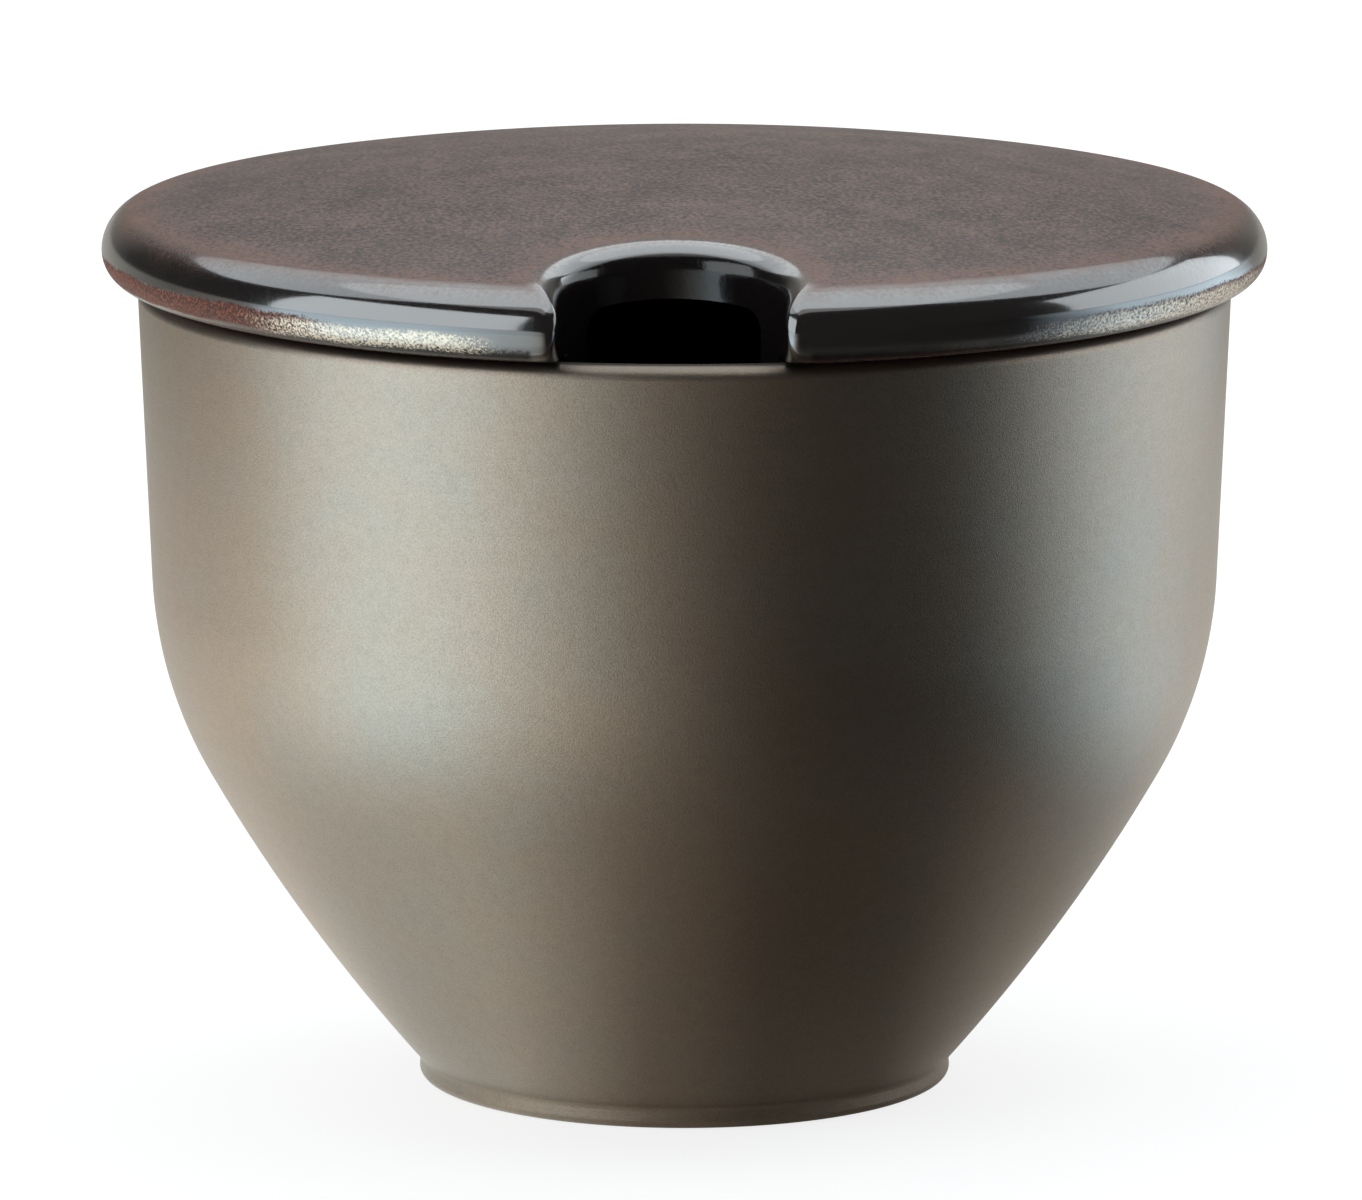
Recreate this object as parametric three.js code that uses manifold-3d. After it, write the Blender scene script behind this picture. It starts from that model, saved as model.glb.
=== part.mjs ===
// Ceramic sugar bowl with a domed lid. The lid overhangs the bowl's rim, is centred by a ring under it,
// and has a notch at the front for the handle of a spoon. Millimetres, +Z up, the table is z = 0,
// the bowl's axis is the Z axis, and the notch looks along -Y.
import * as THREE from "three";
import { ParametricGeometry } from "three/addons/geometries/ParametricGeometry.js";
import { mergeVertices } from "three/addons/utils/BufferGeometryUtils.js";
import Module from "manifold-3d";

// Bowl, outside
const bowlHeight = 69.6;
const rimRadius = 46.9;
const wallFlare = 2.3; // degrees by which the upper wall leans outwards
const shoulderHeight = 44; // where the straight wall runs into the round shoulder
const shoulderRadius = 36.5;
const shoulderLean = 29.5; // degrees from upright where the shoulder runs into the flank
const flankRadius = 157;
const footHeight = 2.25;
const footRadius = 23;
const footEdgeRound = 0.7;

// Bowl, inside and underneath
const wallThickness = 3.2;
const floorThickness = 4.4;
const floorRound = 13; // round between the inside floor and the flank
const footRingWidth = 3.6;
const footRecess = 1.5;
const lipOuterRound = 0.9;
const lipInnerRound = 1.3;

// Lid, outside
const lidOverhang = 3.1; // how far the lid's edge stands out past the rim
const lidRise = 10.4; // top of the dome above the seat
const edgeUnderRound = 2.6;
const edgeOverRound = 3.7;

// Lid, underneath
const lidThickness = 4.3;
const ringDepth = 4.5;
const ringThickness = 3.2;
const ringRound = 2; // round between the ring's inner face and the hollow
const ringFootRound = 1;

// Spoon notch
const notchWidth = 18.4;
const notchDepth = 14.5; // from the lid's edge to the end of the notch
const notchRoll = 2; // round along the notch's upper edge
const notchCorner = 1.25; // upright round where the notch meets the lid's edge
const notchCornerOnTop = 0.3; // what is left of that round on top of the lid
const notchLead = 0.6; // straight wall between the rolled corner and the curved end

// Clearances
const seatGap = 0.3; // lid seat above the bowl's rim
const ringClearance = 0.7; // locating ring to the mouth of the bowl

// Facets
const turnSegments = 84;
const facetError = 0.06; // how far a facet of a profile may cut inside its arc
const rollSteps = 6;
const domeSteps = 4;
const notchEndSteps = 14;
const cornerSteps = 4;
const notchWallSteps = 1;
const plainRingInset = 8; // behind the notch, where the rings over the dome become circles
const mergeDistance = 1e-5;

const degrees = Math.PI / 180;
const seatHeight = bowlHeight + seatGap;
const mouthRadius = rimRadius - wallThickness;
const lidRadius = rimRadius + lidOverhang;

// Points along an arc, both ends included. Angles in radians from the outward direction.
function arc(centre, radius, from, to) {
  const facetTurn = 2 * Math.acos(1 - facetError / radius);
  const steps = Math.max(2, Math.ceil(Math.abs(to - from) / facetTurn));
  const points = [];
  for (let i = 0; i <= steps; i += 1) {
    const angle = from + ((to - from) * i) / steps;
    points.push(
      new THREE.Vector2(centre.x + radius * Math.cos(angle), centre.y + radius * Math.sin(angle)),
    );
  }
  return points;
}

// A profile of radius against height, turned about the Z axis.
function revolve(profile) {
  const apart = profile.filter((point, i) => i === 0 || point.distanceTo(profile[i - 1]) > mergeDistance);
  return new THREE.LatheGeometry(apart, turnSegments).rotateX(Math.PI / 2);
}

// Bowl wall: the straight wall, the shoulder and the flank are one line, each tangent to the next.
// The inside is the same line moved in by the wall's thickness.
const flare = wallFlare * degrees;
const lean = shoulderLean * degrees;
const wallLineRadius = (height) => rimRadius - (bowlHeight - height) * Math.tan(flare);
const shoulderCentre = new THREE.Vector2(
  wallLineRadius(shoulderHeight) - shoulderRadius * Math.cos(flare),
  shoulderHeight + shoulderRadius * Math.sin(flare),
);
const flankCentre = new THREE.Vector2(
  shoulderCentre.x - (flankRadius - shoulderRadius) * Math.cos(lean),
  shoulderCentre.y + (flankRadius - shoulderRadius) * Math.sin(lean),
);

function bowlProfile() {
  const footCorner = -Math.asin((flankCentre.y - footHeight) / flankRadius);
  const recessRadius = footRadius - footRingWidth;
  const underneath = [
    new THREE.Vector2(0, footRecess),
    new THREE.Vector2(recessRadius - footRecess, footRecess),
    new THREE.Vector2(recessRadius, 0),
  ];
  const footEdgeCentre = new THREE.Vector2(footRadius - footEdgeRound, footEdgeRound);
  const foot = arc(footEdgeCentre, footEdgeRound, -Math.PI / 2, 0);
  const flank = arc(flankCentre, flankRadius, footCorner, -lean);
  const shoulder = arc(shoulderCentre, shoulderRadius, -lean, -flare);
  const lipOuterCentre = new THREE.Vector2(
    wallLineRadius(bowlHeight) - lipOuterRound,
    bowlHeight - lipOuterRound,
  );
  const lipInnerCentre = new THREE.Vector2(mouthRadius + lipInnerRound, bowlHeight - lipInnerRound);
  const lip = [
    ...arc(lipOuterCentre, lipOuterRound, 0, Math.PI / 2),
    ...arc(lipInnerCentre, lipInnerRound, Math.PI / 2, Math.PI),
  ];
  const innerShoulder = arc(shoulderCentre, shoulderRadius - wallThickness, -flare, -lean);
  const innerFlankRadius = flankRadius - wallThickness;
  const floorHeight = footRecess + floorThickness;
  const floorRoundHeight = floorHeight + floorRound;
  const floorRoundAngle = -Math.asin((flankCentre.y - floorRoundHeight) / (innerFlankRadius - floorRound));
  const floorRoundCentre = new THREE.Vector2(
    flankCentre.x + (innerFlankRadius - floorRound) * Math.cos(floorRoundAngle),
    floorRoundHeight,
  );
  const inside = [
    ...innerShoulder,
    ...arc(flankCentre, innerFlankRadius, -lean, floorRoundAngle),
    ...arc(floorRoundCentre, floorRound, floorRoundAngle, -Math.PI / 2),
    new THREE.Vector2(0, floorHeight),
  ];
  return [...underneath, ...foot, ...flank, ...shoulder, ...lip, ...inside];
}

// Lid dome: one arc from the apex, tangent to the round of the edge.
const edgeHeight = seatHeight + edgeUnderRound; // widest line of the lid
const edgeRoundCentre = lidRadius - edgeOverRound;
const crown = lidRise - edgeUnderRound;
const domeRadius =
  (edgeRoundCentre ** 2 + crown ** 2 - edgeOverRound ** 2) / (2 * (crown - edgeOverRound));
const domeCentreHeight = seatHeight + lidRise - domeRadius;
const edgeRoundTurn = Math.atan2(edgeHeight - domeCentreHeight, edgeRoundCentre);
const domeEdgeRadius = edgeRoundCentre + edgeOverRound * Math.cos(edgeRoundTurn);

function topHeight(radius) {
  if (radius <= domeEdgeRadius) {
    return domeCentreHeight + Math.sqrt(domeRadius ** 2 - radius ** 2);
  }
  const across = Math.min(radius - edgeRoundCentre, edgeOverRound);
  return edgeHeight + Math.sqrt(edgeOverRound ** 2 - across ** 2);
}

// The curved end of the notch starts behind the rolled corner.
const notchHalf = notchWidth / 2;
const cornerAcross = notchHalf + notchRoll + notchCornerOnTop;
const notchEndStart = notchLead - Math.sqrt((domeEdgeRadius - notchCornerOnTop) ** 2 - cornerAcross ** 2);
const notchEndLength = notchDepth - lidRadius - notchEndStart;

// Plan of the lid, counterclockwise from the right of the notch: a circle with the notch let into it.
// share is 0 on the circle and 1 on the notch.
function lidOutline(radius, widening, corner) {
  const half = notchHalf + widening;
  const endLength = notchEndLength + widening;
  const cornerY = -Math.sqrt((radius - corner) ** 2 - (half + corner) ** 2);
  const cornerTurn = Math.atan2(half + corner, -cornerY);
  const outline = [];
  const add = (x, y, share) => outline.push({ point: new THREE.Vector2(x, y), share });
  for (let i = 0; i < turnSegments; i += 1) {
    const angle = -Math.PI / 2 + cornerTurn + ((2 * Math.PI - 2 * cornerTurn) * i) / turnSegments;
    add(radius * Math.cos(angle), radius * Math.sin(angle), 0);
  }
  for (let i = 0; i < cornerSteps; i += 1) {
    const share = i / cornerSteps;
    const angle = -Math.PI / 2 - cornerTurn + (Math.PI / 2 + cornerTurn) * share;
    add(-half - corner + corner * Math.cos(angle), cornerY + corner * Math.sin(angle), share);
  }
  for (let i = 0; i < notchWallSteps; i += 1) {
    add(-half, cornerY + ((notchEndStart - cornerY) * i) / notchWallSteps, 1);
  }
  for (let i = 0; i <= notchEndSteps; i += 1) {
    const angle = Math.PI - (Math.PI * i) / notchEndSteps;
    add(half * Math.cos(angle), notchEndStart + endLength * Math.sin(angle), 1);
  }
  for (let i = 1; i <= notchWallSteps; i += 1) {
    add(half, notchEndStart + ((cornerY - notchEndStart) * i) / notchWallSteps, 1);
  }
  for (let i = 1; i < cornerSteps; i += 1) {
    const share = 1 - i / cornerSteps;
    const angle = Math.PI + (Math.PI / 2 + cornerTurn) * (i / cornerSteps);
    add(half + corner + corner * Math.cos(angle), cornerY + corner * Math.sin(angle), share);
  }
  return outline;
}

// Lid skin: rings from below the lid up round its edge and over the dome. On the circle a ring follows
// the round of the edge, and on the notch it follows the upright wall and the rolled upper edge.
function lidRings() {
  const lowest = seatHeight - 2 * ringDepth;
  const ring = (outline, heightAt) =>
    outline.map(({ point, share }) => new THREE.Vector3(point.x, point.y, heightAt(point.length(), share)));
  const wallTop = (radius) => topHeight(radius) - notchRoll;
  const rings = [];
  const seatOutline = lidOutline(lidRadius - edgeUnderRound, 0, notchCorner);
  rings.push(seatOutline.map(() => new THREE.Vector3(0, -lidRadius + notchDepth / 2, lowest)));
  rings.push(ring(seatOutline, () => lowest));
  for (let i = 0; i < rollSteps; i += 1) {
    const turn = (Math.PI / 2) * (i / rollSteps);
    const outline = lidOutline(lidRadius - edgeUnderRound * (1 - Math.sin(turn)), 0, notchCorner);
    const edge = edgeHeight - edgeUnderRound * Math.cos(turn);
    const rise = i / rollSteps;
    const wall = (radius) => THREE.MathUtils.lerp(seatHeight, wallTop(radius), rise);
    rings.push(ring(outline, (radius, share) => THREE.MathUtils.lerp(edge, wall(radius), share)));
  }
  for (let i = 0; i <= rollSteps; i += 1) {
    const rise = i / rollSteps;
    const edgeTurn = edgeRoundTurn * rise;
    const notchTurn = (Math.PI / 2) * rise;
    const outline = lidOutline(
      lidRadius - edgeOverRound * (1 - Math.cos(edgeTurn)),
      notchRoll * (1 - Math.cos(notchTurn)),
      THREE.MathUtils.lerp(notchCorner, notchCornerOnTop, rise),
    );
    const edge = edgeHeight + edgeOverRound * Math.sin(edgeTurn);
    const roll = (radius) => topHeight(radius) - notchRoll * (1 - Math.sin(notchTurn));
    rings.push(ring(outline, (radius, share) => THREE.MathUtils.lerp(edge, roll(radius), share)));
  }
  const last = rings[rings.length - 1];
  const circle = circleBehindNotch(last);
  for (let i = 1; i <= domeSteps; i += 1) {
    rings.push(
      last.map((point, j) => {
        const place = point.clone().lerp(circle[j], i / domeSteps);
        return place.setZ(topHeight(Math.hypot(place.x, place.y)));
      }),
    );
  }
  rings.push(last.map(() => new THREE.Vector3(0, 0, topHeight(0))));
  return rings;
}

// A plain circle on the dome, clear of the notch, with its points spread as the ring's own points are.
function circleBehindNotch(ring) {
  const radius = lidRadius - notchDepth - notchRoll - plainRingInset;
  const along = [0];
  ring.forEach((point, i) => along.push(along[i] + point.distanceTo(ring[(i + 1) % ring.length])));
  const length = along[ring.length];
  const notchMiddle = turnSegments + cornerSteps + notchWallSteps + notchEndSteps / 2;
  return ring.map((_, i) => {
    const angle = -Math.PI / 2 + (2 * Math.PI * (along[i] - along[notchMiddle])) / length;
    return new THREE.Vector3(radius * Math.cos(angle), radius * Math.sin(angle), 0);
  });
}

function loft(rings) {
  const columns = rings[0].length;
  const rows = rings.length - 1;
  const onSkin = (u, v, target) => {
    target.copy(rings[Math.round(v * rows)][Math.round(u * columns) % columns]);
  };
  return new ParametricGeometry(onSkin, columns, rows);
}

// Lid underside: hollow, locating ring and seat, turned as a block that reaches past the lid elsewhere.
function undersideProfile() {
  const ringOuter = mouthRadius - ringClearance;
  const ringInner = ringOuter - ringThickness;
  const ringFoot = seatHeight - ringDepth;
  const hollowRadius = domeRadius - lidThickness;
  const hollowCentre = new THREE.Vector2(0, domeCentreHeight);
  const roundRadius = ringInner - ringRound;
  const roundAngle = Math.acos(roundRadius / (hollowRadius - ringRound));
  const roundCentre = new THREE.Vector2(
    roundRadius,
    domeCentreHeight + (hollowRadius - ringRound) * Math.sin(roundAngle),
  );
  const footInnerCentre = new THREE.Vector2(ringInner + ringFootRound, ringFoot + ringFootRound);
  const footOuterCentre = new THREE.Vector2(ringOuter - ringFootRound, ringFoot + ringFootRound);
  const past = lidRadius + edgeOverRound;
  const above = seatHeight + 2 * lidRise;
  return [
    ...arc(hollowCentre, hollowRadius, Math.PI / 2, roundAngle),
    ...arc(roundCentre, ringRound, roundAngle, 0),
    ...arc(footInnerCentre, ringFootRound, -Math.PI, -Math.PI / 2),
    ...arc(footOuterCentre, ringFootRound, -Math.PI / 2, 0),
    new THREE.Vector2(ringOuter, seatHeight),
    new THREE.Vector2(past, seatHeight),
    new THREE.Vector2(past, above),
    new THREE.Vector2(0, above),
  ];
}

const wasm = await Module();
wasm.setup();

function toSolid(geometry) {
  const plain = geometry.clone();
  plain.deleteAttribute("normal");
  plain.deleteAttribute("uv");
  const merged = mergeVertices(plain, mergeDistance);
  const corners = merged.index.array;
  const triangles = [];
  for (let i = 0; i < corners.length; i += 3) {
    const [a, b, c] = corners.slice(i, i + 3);
    if (a !== b && b !== c && c !== a) {
      triangles.push(a, b, c);
    }
  }
  const vertProperties = new Float32Array(merged.attributes.position.array);
  const triVerts = new Uint32Array(triangles);
  return new wasm.Manifold(new wasm.Mesh({ numProp: 3, vertProperties, triVerts }));
}

function toGeometry(solid) {
  const mesh = solid.getMesh();
  const geometry = new THREE.BufferGeometry();
  geometry.setAttribute("position", new THREE.BufferAttribute(mesh.vertProperties, mesh.numProp));
  geometry.setIndex(new THREE.BufferAttribute(mesh.triVerts, 1));
  geometry.computeVertexNormals();
  return geometry;
}

function makeBowl() {
  const satinGlaze = new THREE.MeshStandardMaterial({ color: 0x6f665a, roughness: 0.45, metalness: 0.6 });
  const bowl = new THREE.Mesh(revolve(bowlProfile()), satinGlaze);
  bowl.name = "bowl";
  return bowl;
}

function makeLid() {
  const glossGlaze = new THREE.MeshStandardMaterial({ color: 0x3f2821, roughness: 0.15, metalness: 0 });
  const skin = toSolid(loft(lidRings()));
  const block = toSolid(revolve(undersideProfile()));
  const lid = new THREE.Mesh(toGeometry(skin.intersect(block)), glossGlaze);
  lid.name = "lid";
  return lid;
}

const sugarBowl = new THREE.Group();
sugarBowl.add(makeBowl(), makeLid());

export default sugarBowl;
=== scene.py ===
# Looks of a ceramic sugar bowl with a lid: satin bronze glaze outside the bowl, dark gloss glaze inside it,
# brown gloss glaze on the lid, bare stoneware under the foot. Metres, +Z up, the spoon notch looks along -Y.
import math
import bmesh
import bpy
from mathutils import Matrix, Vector


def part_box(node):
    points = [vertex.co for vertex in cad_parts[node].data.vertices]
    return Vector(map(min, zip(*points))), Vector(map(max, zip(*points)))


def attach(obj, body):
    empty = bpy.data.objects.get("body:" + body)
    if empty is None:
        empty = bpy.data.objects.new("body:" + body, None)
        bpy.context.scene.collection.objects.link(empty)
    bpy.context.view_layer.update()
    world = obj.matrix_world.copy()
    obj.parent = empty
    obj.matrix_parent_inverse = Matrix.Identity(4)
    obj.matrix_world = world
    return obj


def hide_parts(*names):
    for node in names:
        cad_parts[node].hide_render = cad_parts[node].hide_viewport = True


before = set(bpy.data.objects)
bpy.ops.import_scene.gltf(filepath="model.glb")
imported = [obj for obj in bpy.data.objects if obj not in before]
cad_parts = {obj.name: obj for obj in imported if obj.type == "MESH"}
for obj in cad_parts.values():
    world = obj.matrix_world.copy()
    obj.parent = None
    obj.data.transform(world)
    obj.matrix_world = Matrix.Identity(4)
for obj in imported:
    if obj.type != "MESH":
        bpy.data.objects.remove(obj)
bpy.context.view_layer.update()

MM = 0.001

# Sizes taken from the frame
bowl_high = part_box("bowl")[1]
lid_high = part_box("lid")[1]
BOWL_HEIGHT = bowl_high.z
RIM_RADIUS = bowl_high.x
LID_RADIUS = lid_high.y
LID_TOP = lid_high.z

# Bowl
WALL_FLARE = math.radians(2.3)
SHOULDER_HEIGHT = 44 * MM
SHOULDER_RADIUS = 36.5 * MM
SHOULDER_LEAN = math.radians(29.5)
FLANK_RADIUS = 157 * MM
FOOT_HEIGHT = 2.05 * MM
FOOT_RADIUS = 23 * MM
FOOT_EDGE_ROUND = 0.7 * MM
FOOT_CREASE = [Vector(point) * MM for point in ((22.93, 1.45), (22.95, 1.65), (23.03, 1.85))]
FOOT_RING_WIDTH = 3.6 * MM
FOOT_RECESS = 1.5 * MM
WALL = 3.2 * MM
FLOOR = 4.4 * MM
FLOOR_ROUND = 13 * MM
LIP_OUTER_ROUND = 1.2 * MM
LIP_INNER_ROUND = 1.3 * MM
DISC_RADIUS = 2 * MM  # flat disc on the axis where a turned solid starts and ends

# Lid
SEAT_HEIGHT = BOWL_HEIGHT + 0.3 * MM
EDGE_UNDER_ROUND = 2.6 * MM
EDGE_OVER_ROUND = 3.7 * MM
LID_THICKNESS = 4.3 * MM
RING_RADIUS = 43.0 * MM
RING_DEPTH = 4.5 * MM
RING_THICKNESS = 3.2 * MM
RING_ROUND = 2 * MM
RING_FOOT_ROUND = 1 * MM
NOTCH_HALF = 9.2 * MM
NOTCH_DEPTH = 14.5 * MM
NOTCH_ROLL = 2 * MM
NOTCH_CORNER = 1.25 * MM
NOTCH_CORNER_ON_TOP = 0.3 * MM
NOTCH_LEAD = 0.6 * MM
SEAT_TRIM = 0.05 * MM  # the seat is cut this far above the lowest line of the edge's round

# Mesh density
TURN_STEPS = 160
ARC_STEP = math.radians(7)
LONG_ARC = 6 * MM
LONG_ARC_STEPS = 16
CIRCLE_COLUMNS = 64
CORNER_COLUMNS = 4
WALL_COLUMNS = 1
NOTCH_END_COLUMNS = 12
UNDER_RINGS = 4
ROLL_RINGS = 5
DOME_RINGS = 4
PLAIN_RING_INSET = 8 * MM
SUBDIVISIONS = 2
SMOOTH_ANGLE = math.radians(32)
SAME_POINT = 0.001 * MM

# Camera, from the photograph: 1362 x 1200 pixels
FOCAL_LENGTH = 306.2
SENSOR_WIDTH = 36.0
CAMERA_DISTANCE = 1000 * MM
CAMERA_AZIMUTH = math.radians(1.3)
CAMERA_ELEVATION = math.radians(10.565)
CAMERA_AIM = Vector((-0.3 * MM, 0, 41.53 * MM))

scene = bpy.context.scene


# Turned solids


def arc(centre, radius, start, end):
    """Points of radius and height along an arc, both ends included. Angles from the outward direction."""
    steps = max(2, math.ceil(abs(end - start) / ARC_STEP))
    if abs(end - start) * radius > LONG_ARC:
        steps = max(steps, LONG_ARC_STEPS)
    points = []
    for i in range(steps + 1):
        angle = start + (end - start) * i / steps
        points.append(Vector((centre.x + radius * math.cos(angle), centre.y + radius * math.sin(angle))))
    return points


def turned(name, profile):
    """A solid turned about the axis. The profile runs from one flat disc on the axis to another."""
    bpy.ops.object.select_all(action="DESELECT")
    start = profile[0]
    bpy.ops.mesh.primitive_circle_add(
        vertices=TURN_STEPS, radius=start.x, fill_type="NGON", location=(0, 0, start.y)
    )
    piece = bpy.context.active_object
    piece.name = name
    bpy.ops.object.mode_set(mode="EDIT")
    for before, after in zip(profile, profile[1:]):
        if (after - before).length < SAME_POINT:
            continue
        bpy.ops.mesh.extrude_region_move(TRANSFORM_OT_translate={"value": (0, 0, after.y - before.y)})
        share = after.x / before.x
        bpy.ops.transform.resize(value=(share, share, 1), center_override=(0, 0, after.y))
    bpy.ops.mesh.select_all(action="SELECT")
    bpy.ops.mesh.normals_make_consistent(inside=False)
    bpy.ops.object.mode_set(mode="OBJECT")
    bpy.ops.object.transform_apply(location=True, rotation=True, scale=True)
    return piece


def apply_modifier(piece, kind, **settings):
    bpy.ops.object.select_all(action="DESELECT")
    bpy.context.view_layer.objects.active = piece
    piece.select_set(True)
    modifier = piece.modifiers.new(kind.title(), kind)
    for key, value in settings.items():
        setattr(modifier, key, value)
    bpy.ops.object.modifier_apply(modifier=modifier.name)


def smooth(piece):
    bpy.ops.object.select_all(action="DESELECT")
    bpy.context.view_layer.objects.active = piece
    piece.select_set(True)
    bpy.ops.object.shade_smooth_by_angle(angle=SMOOTH_ANGLE)


# Bowl


def wall_radius(height):
    return RIM_RADIUS - (BOWL_HEIGHT - height) * math.tan(WALL_FLARE)


def bowl_profile():
    shoulder = Vector((
        wall_radius(SHOULDER_HEIGHT) - SHOULDER_RADIUS * math.cos(WALL_FLARE),
        SHOULDER_HEIGHT + SHOULDER_RADIUS * math.sin(WALL_FLARE),
    ))
    flank = shoulder + (FLANK_RADIUS - SHOULDER_RADIUS) * Vector((
        -math.cos(SHOULDER_LEAN), math.sin(SHOULDER_LEAN)
    ))
    foot_corner = -math.asin((flank.y - FOOT_HEIGHT) / FLANK_RADIUS)
    foot_edge = Vector((FOOT_RADIUS - FOOT_EDGE_ROUND, FOOT_EDGE_ROUND))
    recess = FOOT_RADIUS - FOOT_RING_WIDTH
    lip_outer = Vector((wall_radius(BOWL_HEIGHT) - LIP_OUTER_ROUND, BOWL_HEIGHT - LIP_OUTER_ROUND))
    mouth = RIM_RADIUS - WALL
    lip_inner = Vector((mouth + LIP_INNER_ROUND, BOWL_HEIGHT - LIP_INNER_ROUND))
    inner_flank = FLANK_RADIUS - WALL
    floor_height = FOOT_RECESS + FLOOR
    floor_turn = -math.asin((flank.y - floor_height - FLOOR_ROUND) / (inner_flank - FLOOR_ROUND))
    floor_centre = Vector((
        flank.x + (inner_flank - FLOOR_ROUND) * math.cos(floor_turn), floor_height + FLOOR_ROUND
    ))
    quarter = math.pi / 2
    return [
        Vector((DISC_RADIUS, FOOT_RECESS)),
        Vector((recess - FOOT_RECESS, FOOT_RECESS)),
        Vector((recess, 0)),
        *arc(foot_edge, FOOT_EDGE_ROUND, -quarter, 0),
        *FOOT_CREASE,
        *arc(flank, FLANK_RADIUS, foot_corner, -SHOULDER_LEAN),
        *arc(shoulder, SHOULDER_RADIUS, -SHOULDER_LEAN, -WALL_FLARE),
        *arc(lip_outer, LIP_OUTER_ROUND, 0, quarter),
        *arc(lip_inner, LIP_INNER_ROUND, quarter, math.pi),
        *arc(shoulder, SHOULDER_RADIUS - WALL, -WALL_FLARE, -SHOULDER_LEAN),
        *arc(flank, inner_flank, -SHOULDER_LEAN, floor_turn),
        *arc(floor_centre, FLOOR_ROUND, floor_turn, -quarter),
        Vector((DISC_RADIUS, floor_height)),
    ]


def make_bowl():
    bowl = turned("bowl_glazed", bowl_profile())
    smooth(bowl)
    return bowl


# Lid

EDGE_HEIGHT = SEAT_HEIGHT + EDGE_UNDER_ROUND
EDGE_CENTRE = LID_RADIUS - EDGE_OVER_ROUND
CROWN = LID_TOP - EDGE_HEIGHT
DOME_RADIUS = (EDGE_CENTRE**2 + CROWN**2 - EDGE_OVER_ROUND**2) / (2 * (CROWN - EDGE_OVER_ROUND))
DOME_CENTRE = LID_TOP - DOME_RADIUS
EDGE_TURN = math.atan2(EDGE_HEIGHT - DOME_CENTRE, EDGE_CENTRE)
DOME_EDGE = EDGE_CENTRE + EDGE_OVER_ROUND * math.cos(EDGE_TURN)
CORNER_ACROSS = NOTCH_HALF + NOTCH_ROLL + NOTCH_CORNER_ON_TOP
NOTCH_END_START = NOTCH_LEAD - math.sqrt((DOME_EDGE - NOTCH_CORNER_ON_TOP) ** 2 - CORNER_ACROSS**2)
NOTCH_END_LENGTH = NOTCH_DEPTH - LID_RADIUS - NOTCH_END_START


def mix(low, high, share):
    return low + (high - low) * share


def top_height(radius):
    """Height of the lid's top over a radius: the dome, then the round of the edge."""
    if radius <= DOME_EDGE:
        return DOME_CENTRE + math.sqrt(DOME_RADIUS**2 - radius**2)
    across = min(radius - EDGE_CENTRE, EDGE_OVER_ROUND)
    return EDGE_HEIGHT + math.sqrt(EDGE_OVER_ROUND**2 - across**2)


def notch_wall_top(radius):
    """Height over a radius where the notch's wall ends and its rolled upper edge starts."""
    return top_height(radius) - NOTCH_ROLL


def lid_outline(radius, widening, corner):
    """Plan of the lid from the right of the notch round to it again: points with their share of notch."""
    half = NOTCH_HALF + widening
    length = NOTCH_END_LENGTH + widening
    corner_y = -math.sqrt((radius - corner) ** 2 - (half + corner) ** 2)
    corner_turn = math.atan2(half + corner, -corner_y)
    quarter = math.pi / 2
    outline = []
    for i in range(CIRCLE_COLUMNS):
        angle = -quarter + corner_turn + (2 * math.pi - 2 * corner_turn) * i / CIRCLE_COLUMNS
        outline.append((radius * math.cos(angle), radius * math.sin(angle), 0))
    for i in range(CORNER_COLUMNS):
        share = i / CORNER_COLUMNS
        angle = -quarter - corner_turn + (quarter + corner_turn) * share
        x = -half - corner + corner * math.cos(angle)
        outline.append((x, corner_y + corner * math.sin(angle), share))
    for i in range(WALL_COLUMNS):
        outline.append((-half, mix(corner_y, NOTCH_END_START, i / WALL_COLUMNS), 1))
    for i in range(NOTCH_END_COLUMNS + 1):
        angle = math.pi - math.pi * i / NOTCH_END_COLUMNS
        outline.append((half * math.cos(angle), NOTCH_END_START + length * math.sin(angle), 1))
    for i in range(1, WALL_COLUMNS + 1):
        outline.append((half, mix(NOTCH_END_START, corner_y, i / WALL_COLUMNS), 1))
    for i in range(1, CORNER_COLUMNS):
        share = 1 - i / CORNER_COLUMNS
        angle = math.pi + (quarter + corner_turn) * i / CORNER_COLUMNS
        x = half + corner + corner * math.cos(angle)
        outline.append((x, corner_y + corner * math.sin(angle), share))
    return outline


def ring(outline, edge_height, notch_height):
    """A ring of points at the edge's height on the circle and at the notch's own height along the notch."""
    return [
        Vector((x, y, mix(edge_height, notch_height(math.hypot(x, y)), share))) for x, y, share in outline
    ]


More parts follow.
